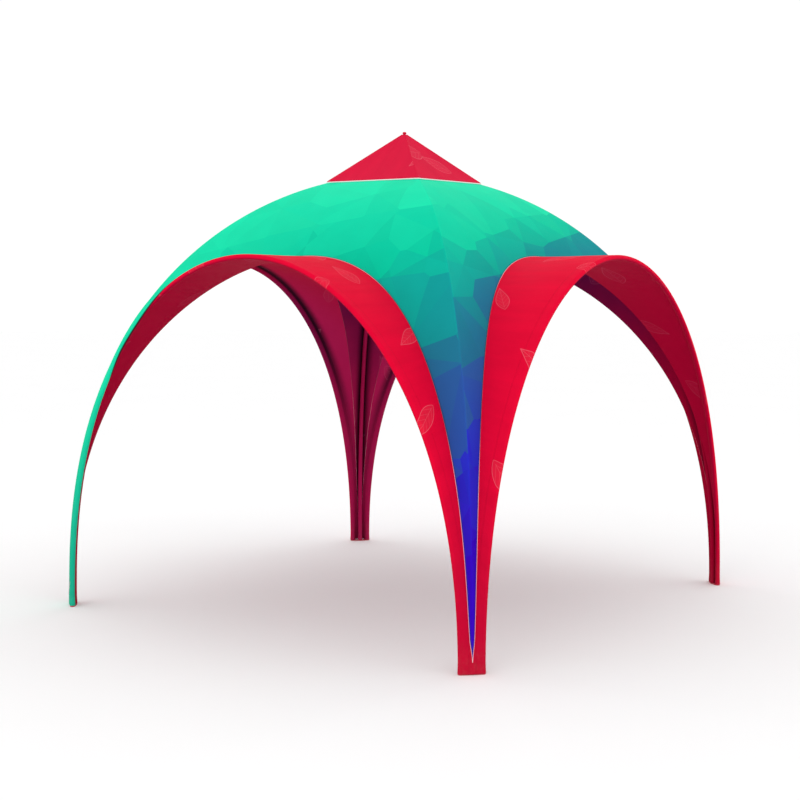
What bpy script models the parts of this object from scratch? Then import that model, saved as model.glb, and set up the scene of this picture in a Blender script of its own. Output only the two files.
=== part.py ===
# Four-legged dome tent with deep arched hoods and a small peaked cap.
# Metres, +Z up, origin on the ground under the peak.
import math

import bmesh
import bpy
import numpy as np

# Driving dimensions
SPAN = 4.0                # between the middles of neighbouring feet
HALF = SPAN / 2
POLE_RADIUS = 0.016
SLEEVE_RADIUS = 0.020
CLOTH = 0.004             # thickness of a fabric solid
FIT = 0.0004              # clearance between neighbouring solids

# Dome: square in plan, its half width falls from DOME_HALF to nothing at DOME_TOP
DOME_HALF = 1.005 * HALF
DOME_TOP = 1.80 * HALF
DOME_POWER = 2.45
VENT_HALF = 0.14 * HALF   # half width of the vent left open under the cap
TAIL_Z = 0.04 * HALF      # where the roof panels end above the ground

# Seam between a roof panel and its hood, drawn on the dome's side
SEAM_HALF = 0.985 * HALF
SEAM_TOP = 1.447 * HALF
SEAM_POWER = 2.33
TAIL_CLOSE = 0.020 * HALF # how far the seam turns out to the ridge at the foot
TAIL_REACH = 0.15 * HALF  # height over which it does so
HEM = 0.006               # how far inside the panel's edge the hood is sewn

# Edge arch in the front of each hood
EDGE_PLANE = 1.021 * HALF
EDGE_HALF = 0.966 * HALF
EDGE_TOP = 1.44 * HALF
EDGE_POWER = 2.18

# Cap over the vent
CAP_HALF = 0.235 * HALF
CAP_BASE = 1.765 * HALF
CAP_TOP = 1.965 * HALF
CAP_TIP = 0.018           # half width of the cap's blunt tip
KNOB_RADIUS = 0.017
KNOB_HEIGHT = 0.024

# Crown hub and the short mast on it
HUB_APOTHEM = 0.085
HUB_HEIGHT = 0.056
MAST_RADIUS = 0.016
MAST_HEAD_RADIUS = 0.015
MAST_HEAD_HEIGHT = 0.008

# Foot brackets
PLATE_THICK = 0.008
PLATE_MARGIN = 0.021      # plate's edge round the middle of each pole
SOCKET_TOP = 0.026
SOCKET_WALL = 0.003
SLEEVE_START = 0.030
RIDGE_GAP = 0.009         # between a ridge sleeve and the fabric over it

# Mesh density
ARCH_STEPS = 30
CROWN_SHARE = 0.2         # share of a panel's length that ends at the vent
PANEL_ROWS = 4
SIDES = 8
SOCKET_SIDES = 12

FACES = ("front", "right", "back", "left")
LEGS = ("front_right", "back_right", "back_left", "front_left")


def dome_half(z):
    """Half width of the dome at height z."""
    return DOME_HALF * np.sqrt(np.clip(1 - (z / DOME_TOP) ** DOME_POWER, 0, 1))


def dome_angle(half):
    """Curve angle at which the dome has this half width."""
    return math.asin(half / DOME_HALF)


def dome_profile(angle, depth=0.0):
    """Half width and height on the dome's profile, or at a depth inside it."""
    half = DOME_HALF * np.sin(angle)
    z = DOME_TOP * np.cos(angle) ** (2 / DOME_POWER)
    slope = DOME_HALF ** 2 * DOME_POWER / 2 * (z / DOME_TOP) ** DOME_POWER / (z * half)
    size = np.hypot(1, slope)
    return half - depth / size, z - depth * slope / size


def arch(share, half, top, power, start):
    """Points x and z of an arch from height start on one side to the other."""
    last = math.acos((start / top) ** (power / 2))
    angle = np.asarray(share) * last
    return half * np.sin(angle), top * np.cos(angle) ** (2 / power)


def crown_line(share):
    """Upper edge of a roof panel: up one ridge, along the vent, down the other."""
    size = np.abs(share)
    top = dome_angle(VENT_HALF)
    foot = math.acos((TAIL_Z / DOME_TOP) ** (DOME_POWER / 2))
    angle = top + (foot - top) * np.clip((size - CROWN_SHARE) / (1 - CROWN_SHARE), 0, 1)
    half, z = dome_profile(angle)
    x = np.where(size < CROWN_SHARE, share / CROWN_SHARE * half, np.sign(share) * half)
    return x, z


def panel_grid():
    """Points x and z of a roof panel, one row for each step along its arch."""
    share = np.linspace(-1, 1, ARCH_STEPS + 1)
    row = np.linspace(0, 1, PANEL_ROWS + 1)[None, :]
    x0, z0 = arch(share, SEAM_HALF, SEAM_TOP, SEAM_POWER, TAIL_Z)
    x0 += np.sign(share) * TAIL_CLOSE * np.exp(-z0 / TAIL_REACH)
    x1, z1 = crown_line(share)
    x = x0[:, None] * (1 - row) + x1[:, None] * row
    z = z0[:, None] * (1 - row) + z1[:, None] * row
    return x, z


def on_dome(x, z, depth):
    """Points on the front side of the dome, or at a depth inside it."""
    half = dome_half(z)
    inner_half, inner_z = dome_profile(np.arcsin(half / DOME_HALF), depth)
    inner_x = x * inner_half / half
    return np.stack([inner_x, -inner_half, inner_z], axis=-1)


def panel_rings():
    """Cross sections of a roof panel, outer face first and inner face back."""
    x, z = panel_grid()
    outer = on_dome(x, z, 0.0)
    inner = on_dome(x, z, CLOTH)
    edge = np.sign(x[:, -1]) * (np.abs(np.linspace(-1, 1, ARCH_STEPS + 1)) >= CROWN_SHARE - 1e-6)
    outer[:, -1, 0] -= edge * FIT
    inner[:, -1, 0] -= edge * FIT
    return np.concatenate([outer, inner[:, ::-1]], axis=1)


def unit(vectors):
    """Vectors scaled to length one."""
    return vectors / np.linalg.norm(vectors, axis=-1, keepdims=True)


def edge_line(start):
    """Middle line of an edge arch that starts and ends at height start."""
    share = np.linspace(-1, 1, ARCH_STEPS + 1)
    x, z = arch(share, EDGE_HALF, EDGE_TOP, EDGE_POWER, start)
    return np.stack([x, np.full_like(x, -EDGE_PLANE), z], axis=-1)


def hood_rings():
    """Cross sections of a hood, from its seat on the roof panel to the edge sleeve."""
    x, z = panel_grid()
    seam = on_dome(x[:, 0], z[:, 0], 0.0)
    above = on_dome(x[:, 1], z[:, 1], 0.0)
    seat = seam + unit(above - seam) * HEM
    edge = edge_line(SLEEVE_START)
    along = unit(np.gradient(seat + edge, axis=0))
    across = unit(edge - seat)
    face = unit(np.cross(along, across))
    normal = unit(np.cross(np.gradient(seam, axis=0), above - seam))
    normal *= -np.sign(normal[:, 1:2])
    edge_along = unit(np.gradient(edge, axis=0))
    slant = np.linalg.norm(np.cross(across, edge_along), axis=1, keepdims=True)
    rings = []
    for side in (0.5, -0.5):
        shift = face * side * CLOTH
        reach = (2 * FIT - (shift * normal).sum(1)) / (across * normal).sum(1)
        near = seat + shift + across * reach[:, None]
        far = edge + shift - across * (SLEEVE_RADIUS + 2 * FIT) / slant
        rings += [near, far] if side > 0 else [far, near]
    return np.stack(rings, axis=1)


def round_rings(line, radius, side):
    """Circles round a line that lies in a plane with the normal side."""
    along = unit(np.gradient(line, axis=0))
    side = np.asarray(side, dtype=float)
    up = unit(np.cross(along, side))
    turn = np.arange(SIDES) * 2 * math.pi / SIDES
    ring = np.cos(turn)[None, :, None] * up[:, None] + np.sin(turn)[None, :, None] * side
    return line[:, None] + radius * ring


def ridge_line(depth):
    """Line under the front right ridge at a depth inside the dome."""
    share = np.linspace(1, CROWN_SHARE, round(ARCH_STEPS * (1 - CROWN_SHARE) / 2) + 1)
    x, _ = crown_line(share)
    half, height = dome_profile(np.arcsin(x / DOME_HALF), depth)
    return np.stack([half, -half, height], axis=-1)


def skin(name, rings, closed_ring=False, shell=False):
    """Mesh through cross sections, with faces on both ends or joined end to start.

    Both sides of a shell are split along the same diagonals, so they stay apart.
    """
    count, points = rings.shape[:2]
    index = np.arange(count * points).reshape(count, points)
    rows = np.concatenate([index, index[:1]]) if closed_ring else index
    a = rows[:-1]
    b = rows[1:]
    quads = np.stack([a, np.roll(a, -1, 1), np.roll(b, -1, 1), b], axis=-1)
    if shell:
        quads[:, points // 2:] = np.roll(quads[:, points // 2:], -1, axis=-1)
    faces = quads[..., (0, 1, 2)].reshape(-1, 3).tolist()
    faces += quads[..., (0, 2, 3)].reshape(-1, 3).tolist()
    if not closed_ring:
        faces += strip_cap(index[0][::-1]) + strip_cap(index[-1])
    return face_out(name, rings.reshape(-1, 3).tolist(), faces)


def face_out(name, points, faces):
    """Mesh whose faces all point outwards."""
    mesh = bpy.data.meshes.new(name)
    mesh.from_pydata(points, [], faces)
    mesh.update()
    form = bmesh.new()
    form.from_mesh(mesh)
    if form.calc_volume(signed=True) < 0:
        bmesh.ops.reverse_faces(form, faces=form.faces)
    form.to_mesh(mesh)
    form.free()
    return mesh


def strip_cap(loop):
    """Faces that close the loop, joined across it in pairs."""
    loop = loop.tolist()
    faces = []
    last = len(loop) - 1
    for i in range(last // 2):
        faces.append([loop[i], loop[i + 1], loop[last - i - 1], loop[last - i]])
    return faces


def tube(name, line, outer, inner, side):
    """Mesh of a hollow tube along a flat line, open at both ends."""
    outside = round_rings(line, outer, side)
    inside = round_rings(line, inner, side)
    return skin(name, np.concatenate([outside, inside[::-1]]), closed_ring=True)


def material(name, colour, roughness, metallic=0.0):
    """Principled material of one colour."""
    made = bpy.data.materials.new(name)
    made.use_nodes = True
    shader = made.node_tree.nodes["Principled BSDF"]
    shader.inputs["Base Color"].default_value = (*colour, 1.0)
    shader.inputs["Roughness"].default_value = roughness
    shader.inputs["Metallic"].default_value = metallic
    made.diffuse_color = (*colour, 1.0)
    return made


def place(name, mesh, finish, parent, turn=0.0, smooth=True):
    """Object for one sub-part, turned about the tent's axis."""
    made = bpy.data.objects.new(name, mesh)
    bpy.context.scene.collection.objects.link(made)
    if not mesh.materials:
        mesh.materials.append(finish)
    if smooth:
        mesh.shade_smooth()
        mesh.set_sharp_from_angle(angle=math.radians(35))
    made.rotation_euler = (0, 0, turn)
    made.parent = parent
    return made


def flat_prism(name, outline, low, high):
    """Mesh of an outline extruded from height low to height high."""
    rings = [[(x, y, z) for x, y in outline] for z in (low, high)]
    count = len(outline)
    points = rings[0] + rings[1]
    faces = [list(range(count))[::-1], list(range(count, 2 * count))]
    for i in range(count):
        j = (i + 1) % count
        faces.append([i, j, count + j, count + i])
    return face_out(name, points, faces)


def circle(x, y, radius, sides, turn=0.0):
    """Outline of a circle in plan."""
    step = 2 * math.pi / sides
    return [(x + radius * math.cos(turn + i * step), y + radius * math.sin(turn + i * step))
            for i in range(sides)]


def hull_outline(points):
    """Outer outline of points in plan, counterclockwise."""
    points = sorted(set(points))
    chains = []
    for order in (points, points[::-1]):
        chain = []
        for p in order:
            while len(chain) > 1 and turn_of(chain[-2], chain[-1], p) <= 1e-12:
                chain.pop()
            chain.append(p)
        chains += chain[:-1]
    return chains


def turn_of(a, b, c):
    """Positive where the path a, b, c turns left."""
    return (b[0] - a[0]) * (c[1] - a[1]) - (b[1] - a[1]) * (c[0] - a[0])


def turned(name, outline, sides):
    """Mesh of a closed outline of radius and height turned about the Z axis."""
    turn = np.arange(sides) * 2 * math.pi / sides
    profile = np.array(outline)
    x = profile[:, 0][:, None] * np.cos(turn)
    y = profile[:, 0][:, None] * np.sin(turn)
    z = np.repeat(profile[:, 1][:, None], sides, axis=1)
    points = np.stack([x, y, z], axis=-1)
    count = len(profile)
    index = np.arange(count * sides).reshape(count, sides)
    a = index[:-1]
    b = index[1:]
    quads = np.stack([a, np.roll(a, -1, 1), np.roll(b, -1, 1), b], axis=-1).reshape(-1, 4)
    faces = quads.tolist() + [index[0][::-1].tolist(), index[-1].tolist()]
    return face_out(name, points.reshape(-1, 3).tolist(), faces)


def pole_feet(edge, ridge):
    """Middles of the three poles in the front right foot."""
    x, y = edge[-1][:2]
    return [(x, y), (ridge[0][0], ridge[0][1]), (-y, -x)]


def cutter(name, mesh):
    """Helper object that only shapes another one."""
    made = bpy.data.objects.new(name, mesh)
    bpy.context.scene.collection.objects.link(made)
    made.hide_render = True
    made.display_type = "WIRE"
    return made


def joined_prisms(name, feet, radius, low, high):
    """Mesh of three like round prisms, one at each pole."""
    points = []
    faces = []
    for x, y in feet:
        prism = flat_prism("prism", circle(x, y, radius, SOCKET_SIDES), low, high)
        start = len(points)
        points += [tuple(v.co) for v in prism.vertices]
        faces += [[start + i for i in face.vertices] for face in prism.polygons]
        bpy.data.meshes.remove(prism)
    return face_out(name, points, faces)


def foot_mesh(feet):
    """Mesh of a foot bracket: a plate with a socket for each of three poles."""
    rims = []
    for x, y in feet:
        rims += circle(x, y, PLATE_MARGIN, 2 * SOCKET_SIDES)
    plate = flat_prism("foot_plate", hull_outline(rims), 0.0, PLATE_THICK)
    body = cutter("foot_body", plate)
    bore = (POLE_RADIUS + 2 * FIT) / math.cos(math.pi / SOCKET_SIDES)
    tubes = joined_prisms("socket_tubes", feet, bore + SOCKET_WALL, PLATE_THICK / 2, SOCKET_TOP)
    bores = joined_prisms("socket_bores", feet, bore, PLATE_THICK, SOCKET_TOP + PLATE_THICK)
    for kind, mesh in (("UNION", tubes), ("DIFFERENCE", bores)):
        cut = body.modifiers.new(kind.lower(), "BOOLEAN")
        cut.operation = kind
        cut.solver = "EXACT"
        cut.object = cutter("foot_" + kind.lower(), mesh)
    graph = bpy.context.evaluated_depsgraph_get()
    made = bpy.data.meshes.new_from_object(body.evaluated_get(graph))
    for helper in [o for o in bpy.data.objects if o.name.startswith("foot_")]:
        bpy.data.objects.remove(helper)
    made.name = "foot_bracket"
    return made


def cap_mesh():
    """Mesh of the cap: a four-sided shell, open below, with a blunt tip."""
    slope = (CAP_HALF - CAP_TIP) / (CAP_TOP - CAP_BASE)
    inset = CLOTH * math.hypot(1, slope) / slope
    rings = []
    for half, z in ((CAP_HALF, CAP_BASE), (CAP_TIP, CAP_TOP)):
        rings.append([(half, -half, z), (half, half, z), (-half, half, z), (-half, -half, z)])
    for half, z in ((CAP_TIP, CAP_TOP - inset), (CAP_HALF - inset * slope, CAP_BASE)):
        rings.append([(half, -half, z), (half, half, z), (-half, half, z), (-half, -half, z)])
    points = [p for ring in rings for p in ring]
    faces = [[4, 5, 6, 7], [11, 10, 9, 8]]
    for first, second in ((0, 4), (8, 12), (12, 0)):
        for i in range(4):
            j = (i + 1) % 4
            faces.append([first + i, first + j, second + j, second + i])
    return face_out("peak_cap", points, faces), CAP_TOP - inset


def pole_line(line, start):
    """The line with straight ends added down to height start."""
    first = line[0].copy()
    first[2] = start
    if line[-1][2] > SLEEVE_START * 2:
        return np.concatenate([first[None], line])
    last = line[-1].copy()
    last[2] = start
    return np.concatenate([first[None], line, last[None]])


def ridge_pole_line(ridge, hub_reach):
    """Middle line of a ridge pole, from its socket to the crown hub."""
    line = pole_line(ridge, PLATE_THICK + FIT)
    reach = hub_reach / math.sqrt(2)
    end = np.array([[reach, -reach, line[-1][2] + CLOTH]])
    return np.concatenate([line, end])


def build():
    """Make every sub-part of the tent."""
    red = material("red_fabric", (0.72, 0.006, 0.022), 0.6)
    lining = material("dark_red_fabric", (0.24, 0.004, 0.03), 0.7)
    green = material("green_fabric", (0.01, 0.56, 0.36), 0.6)
    alloy = material("aluminium", (0.62, 0.63, 0.65), 0.35, 1.0)
    coated = material("red_coated_steel", (0.58, 0.004, 0.03), 0.45)
    dark = material("dark_plastic", (0.03, 0.03, 0.035), 0.5)

    tent = bpy.data.objects.new("tent", None)
    bpy.context.scene.collection.objects.link(tent)

    depth = CLOTH + SLEEVE_RADIUS + RIDGE_GAP
    ridge = ridge_line(depth)
    diagonal_side = (math.sqrt(0.5), math.sqrt(0.5), 0.0)
    sleeve_ridge = pole_line(ridge, SLEEVE_START)
    ridge_path = ridge_pole_line(ridge, HUB_APOTHEM + FIT)
    inner = POLE_RADIUS + FIT

    panel = skin("roof_panel", panel_rings(), shell=True)
    hood = skin("hood", hood_rings(), shell=True)
    edge = edge_line(SLEEVE_START)
    edge_sleeve = tube("edge_sleeve", edge, SLEEVE_RADIUS, inner, (0, 1, 0))
    edge_path = pole_line(edge, PLATE_THICK + FIT)
    edge_pole = skin("edge_pole", round_rings(edge_path, POLE_RADIUS, (0, 1, 0)))
    ridge_sleeve = tube("ridge_sleeve", sleeve_ridge, SLEEVE_RADIUS, inner, diagonal_side)
    ridge_pole = skin("ridge_pole", round_rings(ridge_path, POLE_RADIUS, diagonal_side))
    foot = foot_mesh(pole_feet(edge, ridge))

    for i, (face, leg) in enumerate(zip(FACES, LEGS)):
        turn = i * math.pi / 2
        place("roof_panel_" + face, panel, green, tent, turn)
        place("hood_" + face, hood, red, tent, turn)
        place("edge_sleeve_" + face, edge_sleeve, red, tent, turn)
        place("edge_pole_" + face, edge_pole, alloy, tent, turn)
        place("ridge_sleeve_" + leg, ridge_sleeve, lining, tent, turn)
        place("ridge_pole_" + leg, ridge_pole, alloy, tent, turn)
        place("foot_bracket_" + leg, foot, coated, tent, turn, smooth=False)

    hub_middle = ridge_path[-1][2]
    hub_top = hub_middle + HUB_HEIGHT / 2
    corner = HUB_APOTHEM / math.cos(math.pi / 8)
    outline = circle(0, 0, corner, 8, math.pi / 8)
    hub = flat_prism("crown_hub", outline, hub_middle - HUB_HEIGHT / 2, hub_top)
    place("crown_hub", hub, dark, tent, smooth=False)

    cap, cap_under = cap_mesh()
    place("peak_cap", cap, red, tent, smooth=False)
    head = cap_under - FIT
    shaft = [(MAST_RADIUS, hub_top + FIT), (MAST_RADIUS, head - MAST_HEAD_HEIGHT),
             (MAST_HEAD_RADIUS, head)]
    place("peak_mast", turned("peak_mast", shaft, 16), alloy, tent)
    low = CAP_TOP + FIT
    knob = [(KNOB_RADIUS * 0.8, low), (KNOB_RADIUS, low + KNOB_HEIGHT * 0.3),
            (KNOB_RADIUS, low + KNOB_HEIGHT * 0.7), (KNOB_RADIUS * 0.6, low + KNOB_HEIGHT)]
    place("peak_knob", turned("peak_knob", knob, 16), red, tent)


for old in list(bpy.data.objects):
    bpy.data.objects.remove(old)
build()
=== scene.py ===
"""Looks of a four-legged dome tent, built round its packed solids.

Metres, +Z up, origin on the ground under the peak. Each piece is a surface worked out
on a grid of two parameters, made once at the front or at the front right leg and turned
to the other sides.
"""

import math

import bpy
import numpy as np
from bpy.props import FloatProperty, FloatVectorProperty, PointerProperty
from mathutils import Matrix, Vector


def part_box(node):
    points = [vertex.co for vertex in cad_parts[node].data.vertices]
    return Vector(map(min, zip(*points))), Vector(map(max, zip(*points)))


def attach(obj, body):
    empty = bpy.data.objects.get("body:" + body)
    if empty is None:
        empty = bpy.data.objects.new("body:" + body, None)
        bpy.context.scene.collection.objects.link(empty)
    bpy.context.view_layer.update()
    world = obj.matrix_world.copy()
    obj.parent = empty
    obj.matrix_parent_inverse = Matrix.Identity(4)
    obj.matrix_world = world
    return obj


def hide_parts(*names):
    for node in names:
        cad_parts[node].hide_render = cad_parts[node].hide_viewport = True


bl_info = {
    "name": "Dome Tent",
    "version": (1, 0, 0),
    "blender": (4, 5, 0),
    "location": "3D View > Sidebar > Tent",
    "description": "Dresses the solids of a dome tent in printed cloth, seams and fittings",
    "category": "Add Mesh",
}

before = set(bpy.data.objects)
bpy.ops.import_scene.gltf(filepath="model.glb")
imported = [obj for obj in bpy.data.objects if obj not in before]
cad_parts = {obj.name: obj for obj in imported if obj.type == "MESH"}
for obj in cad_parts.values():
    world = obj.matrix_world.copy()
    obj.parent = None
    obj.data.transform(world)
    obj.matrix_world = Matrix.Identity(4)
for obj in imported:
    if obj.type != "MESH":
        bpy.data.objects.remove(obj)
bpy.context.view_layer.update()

FACES = ("front", "right", "back", "left")
LEGS = ("front_right", "back_right", "back_left", "front_left")
HALF = 2.0                # half the distance between neighbouring feet


def length(name, description, default):
    """Property for a size in metres."""
    return FloatProperty(name=name, description=description, default=default, min=0.0,
                         precision=4, subtype="DISTANCE", unit="LENGTH")


def number(name, description, default):
    """Property for a plain number."""
    return FloatProperty(name=name, description=description, default=default, precision=3)


def colour(name, description, default):
    """Property for a colour given as 8-bit red, green and blue, kept as linear light."""
    linear = [light(value / 255) for value in default]
    return FloatVectorProperty(name=name, description=description, default=linear,
                               subtype="COLOR", min=0.0, max=1.0)


def light(value):
    """Linear light of a display value from 0 to 1."""
    return value / 12.92 if value < 0.04045 else ((value + 0.055) / 1.055) ** 2.4


class TentShape(bpy.types.PropertyGroup):
    """Lines of the tent that the cloth follows"""
    dome_half: length("Dome half width", "Half width of the dome at the ground", 1.005 * HALF)
    dome_top: length("Dome top", "Height at which the dome would close", 1.80 * HALF)
    dome_power: number("Dome power", "Power of the dome's superellipse", 2.45)
    vent_half: length("Vent half width", "Half width of the vent under the cap", 0.14 * HALF)
    seam_half: length("Seam half width", "Half width of the hood seam at the ground", 0.985 * HALF)
    seam_top: length("Seam top", "Height of the hood seam's crest", 1.447 * HALF)
    seam_power: number("Seam power", "Power of the hood seam's superellipse", 2.33)
    tail_close: length("Tail closing", "How far the seam turns out to the ridge", 0.020 * HALF)
    tail_reach: length("Tail reach", "Height over which the seam turns out", 0.15 * HALF)
    tail_tip: length("Tail tip", "Height of the point where a panel's tail ends", 0.088)
    tail_blend: length("Tail taper", "Height over which the tail narrows to its point", 0.16)
    edge_plane: length("Edge plane", "How far out the edge arches stand", 1.021 * HALF)
    edge_half: length("Edge half width", "Half width of an edge arch at the ground", 0.966 * HALF)
    edge_top: length("Edge top", "Height of an edge arch", 1.44 * HALF)
    edge_power: number("Edge power", "Power of the edge arch's superellipse", 2.18)
    ridge_depth: length("Ridge pole depth", "From the dome's face to a ridge pole's middle", 0.033)
    cap_half: length("Cap half width", "Half width of the cap at its base", 0.235 * HALF)
    cap_base: length("Cap base", "Height of the cap's base", 1.765 * HALF)
    cap_top: length("Cap top", "Height of the cap's blunt tip", 1.965 * HALF)


class ClothMake(bpy.types.PropertyGroup):
    """How the cloth is cut, folded and sewn"""
    thickness: length("Cloth thickness", "Thickness of a panel or hood", 0.002)
    pocket_wall: length("Pocket wall", "Thickness of the cloth round a pole", 0.0015)
    ridge_round: length("Ridge rounding", "Radius of the cloth over a ridge", 0.009)
    foot_gap: length("Foot gap", "Height of the cloth's lower ends, above the plates", 0.0095)
    hem: length("Hem", "Width of a hood's stitched hem", 0.012)
    pole_radius: length("Pole radius", "Radius of the poles", 0.016)
    pole_end: length("Pole end", "Height of the poles' lower ends, in their sockets", 0.0084)
    pocket_radius: length("Pocket radius", "Radius of the cloth round a pole", 0.020)
    pocket_flare: length("Pocket flare", "How much wider a pocket is at its foot", 0.0028)
    pocket_reach: length("Pocket reach", "From a pole's middle to its pocket's stitching", 0.045)
    hood_sag: number("Hood sag", "Depth of a hood's hollow as a share of its width", 0.006)
    fold_depth: length("Fold depth", "Depth of the folds across a hood", 0.0016)
    piping_radius: length("Piping radius", "Radius of the cord sewn along the seams", 0.0018)
    cap_piping: length("Cap binding radius", "Radius of the binding on the cap's base", 0.0048)
    panel_cut_wide: length("Panel cut width", "Width of the cut of a panel's two halves", 1.518)
    panel_cut_long: length("Panel cut length", "Length of the cut of a panel's two halves", 4.640)
    cap_sag: length("Cap sag", "Depth of the hollow in each side of the cap", 0.010)


class ClothPrint(bpy.types.PropertyGroup):
    """Colours and sizes of the print"""
    mint: colour("Mint", "Print near the peak", (26, 226, 174))
    emerald: colour("Emerald", "Print a little lower", (2, 206, 164))
    teal: colour("Teal", "Print at half height", (16, 158, 156))
    lagoon: colour("Lagoon", "Print between teal and blue", (36, 118, 154))
    steel: colour("Steel blue", "Print between lagoon and royal blue", (46, 92, 166))
    royal: colour("Royal blue", "Print low on the blue leg", (42, 44, 200))
    violet: colour("Violet", "Print at the foot of the blue leg", (56, 8, 196))
    foot: colour("Foot green", "Print at the feet of the green leg", (28, 174, 142))
    red: colour("Red", "Outside of the hoods and the cap", (230, 6, 52))
    crimson: colour("Crimson", "Outside of the hoods towards the feet", (198, 8, 50))
    cap_red: colour("Cap red", "Outside of the cap", (216, 24, 62))
    # Painted shade: the inner side is the outside's red made darker for the shade inside the tent
    shaded_wine: colour("Wine", "Inner side of the cloth", (166, 0, 46))
    # Painted shade: the purplish tone that the inner side takes in the shade of the far leg
    far_shade_mulberry: colour("Mulberry", "Inner side of the cloth at the far leg", (168, 26, 84))
    # Painted shade: the dark purple of the shade under the dome and high in the far leg's pockets
    shade_plum: colour("Plum", "Inner side of the cloth under the dome", (92, 8, 62))
    binding: colour("Binding", "Piping along the seams", (255, 196, 208))
    cap_binding: colour("Cap binding", "Binding round the cap's base", (255, 242, 242))
    facet_size: length("Facet size", "Usual distance between the print's points", 0.57)
    lean_right: number("Blue to the right", "How much bluer the print gets for each metre along X", 0.21)
    lean_back: number("Blue to the back", "How much bluer the print gets for each metre along Y", 0.24)
    leaf_cell: length("Leaf spacing", "Usual distance between the leaf outlines", 0.64)


class StageSetup(bpy.types.PropertyGroup):
    """Floor, lights and camera"""
    camera_place: FloatVectorProperty(name="Camera place", description="Where the camera stands",
                                      default=(7.765, -10.883, 2.717), subtype="TRANSLATION",
                                      unit="LENGTH")
    heading: FloatProperty(name="Camera heading", description="Turn of the camera about Z",
                           default=math.radians(35.67), subtype="ANGLE", unit="ROTATION")
    pitch: FloatProperty(name="Camera pitch", description="Tilt of the camera below level",
                         default=math.radians(-4.435), subtype="ANGLE", unit="ROTATION")
    lens: number("Lens", "Focal length in millimetres on a 36 mm sensor", 70.41)
    floor_radius: length("Floor radius", "Radius of the floor", 70.0)
    sky: number("Sky strength", "Strength of the even light from all round", 1.02)
    key: number("Key power", "Power of the large light in front, in watts", 50.0)
    overhead: number("Overhead power", "Power of the large light above, in watts", 50.0)


# Lines of the tent

UP = np.array([0.0, 0.0, 1.0])
DIAGONAL = np.array([1.0, 1.0, 0.0])


def smooth(value):
    """Runs smoothly from 0 to 1 while the value does: 3 v squared less 2 v cubed."""
    v = np.clip(value, 0, 1)
    return v * v * (3 - 2 * v)


def unit(vectors):
    """Vectors scaled to length one."""
    return vectors / np.maximum(np.linalg.norm(vectors, axis=-1, keepdims=True), 1e-12)


def square_to(vectors, along):
    """Vectors without their share along a direction of length one."""
    return vectors - along * (vectors * along).sum(-1, keepdims=True)


def dome_half(shape, z):
    """Half width at height z: w * sqrt(1 - (z / top) ^ power)."""
    rise = np.clip(np.asarray(z, dtype=float) / shape.dome_top, 0, 1)
    return shape.dome_half * np.sqrt(1 - rise ** shape.dome_power)


def seam_half(shape, z):
    """Half width of the hood seam: a superellipse, turned out to meet the ridge at the tip."""
    rise = np.clip(z / shape.seam_top, 0, 1)
    half = shape.seam_half * np.sqrt(1 - rise ** shape.seam_power)
    half = half + shape.tail_close * np.exp(-z / shape.tail_reach)
    outer, at_tip = dome_half(shape, z), 0.12
    taper = smooth(at_tip + (1 - at_tip) * (z - shape.tail_tip) / shape.tail_blend)
    return outer - np.where(z <= shape.tail_tip, 0.0, (outer - half) * taper)


def arch(share, half, top, power, start):
    """An arch from height start to its crest and down again, at even steps of angle:
    x = half * sin(angle), z = top * cos(angle) ^ (2 / power)."""
    angle = share * math.acos((start / top) ** (power / 2))
    return half * np.sin(angle), top * np.cos(angle) ** (2 / power)


def seam_line(shape, share, start):
    """The hood seam on the front side: the arch's heights with the seam's half widths, eased
    into the plain arch at its crest."""
    x, z = arch(share, shape.seam_half, shape.seam_top, shape.seam_power, start)
    half, side, crest_share = seam_half(shape, z), np.sign(share), 0.06
    eased = smooth(np.abs(share) / crest_share)
    return np.where(eased < 1, x + side * eased * (half - np.abs(x)), side * half), z


def vent_angle(shape):
    """Angle of the dome's profile at the vent."""
    return math.asin(shape.vent_half / shape.dome_half)


def low_angle(shape, z):
    """Angle of the dome's profile at a height."""
    return math.acos((z / shape.dome_top) ** (shape.dome_power / 2))


def profile(shape, angle, depth=0.0):
    """Half width and height on the dome's profile, moved inwards by depth along its normal."""
    half = shape.dome_half * np.sin(angle)
    z = shape.dome_top * np.maximum(np.cos(angle), 1e-9) ** (2 / shape.dome_power)
    rise = (z / shape.dome_top) ** shape.dome_power
    slope = shape.dome_half ** 2 * shape.dome_power / 2 * rise / (z * half)
    size = np.hypot(1, slope)
    return half - depth / size, z - depth * slope / size


def crown_line(shape, share, start, crown):
    """Upper edge of a panel: up one ridge, straight along the vent, down the other ridge."""
    size, top = np.abs(share), vent_angle(shape)
    angle = top + (low_angle(shape, start) - top) * np.clip((size - crown) / (1 - crown), 0, 1)
    half, z = profile(shape, angle)
    return np.where(size < crown, share / crown * half, np.sign(share) * half), z


def rounded(half, across, radius):
    """Distances across and outwards on a side of a square: straight, and turned onto an arc
    of 45 degrees near the corner."""
    turn = np.clip(1 - (half - across) / radius, 0, 1) * math.pi / 4
    near = half - across < radius
    return (np.where(near, half - radius + radius * np.sin(turn), across),
            np.where(near, half - radius + radius * np.cos(turn), half))


def on_dome(shape, make, x, z):
    """Points on the dome's front side, rounded at the ridges, less where the panel is narrow."""
    half = dome_half(shape, z)
    radius = np.clip(0.6 * (half - seam_half(shape, z)), 1e-6, make.ridge_round)
    across, out = rounded(half, np.abs(x), radius)
    return np.stack([np.sign(x) * across, -out, z], axis=-1)


def edge_line(shape, share, start):
    """Middle of an edge pole: an upright arch in the plane of the edge."""
    x, z = arch(share, shape.edge_half, shape.edge_top, shape.edge_power, start)
    return np.stack([x, np.full_like(x, -shape.edge_plane), z], axis=-1)


def turned_side(points, side):
    """Points turned by the given number of quarter turns about the tent's axis."""
    c, s = ((1, 0), (0, 1), (-1, 0), (0, -1))[side]
    x, y, z = np.moveaxis(points, -1, 0)
    return np.stack([c * x - s * y, s * x + c * y, z], axis=-1)


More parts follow.
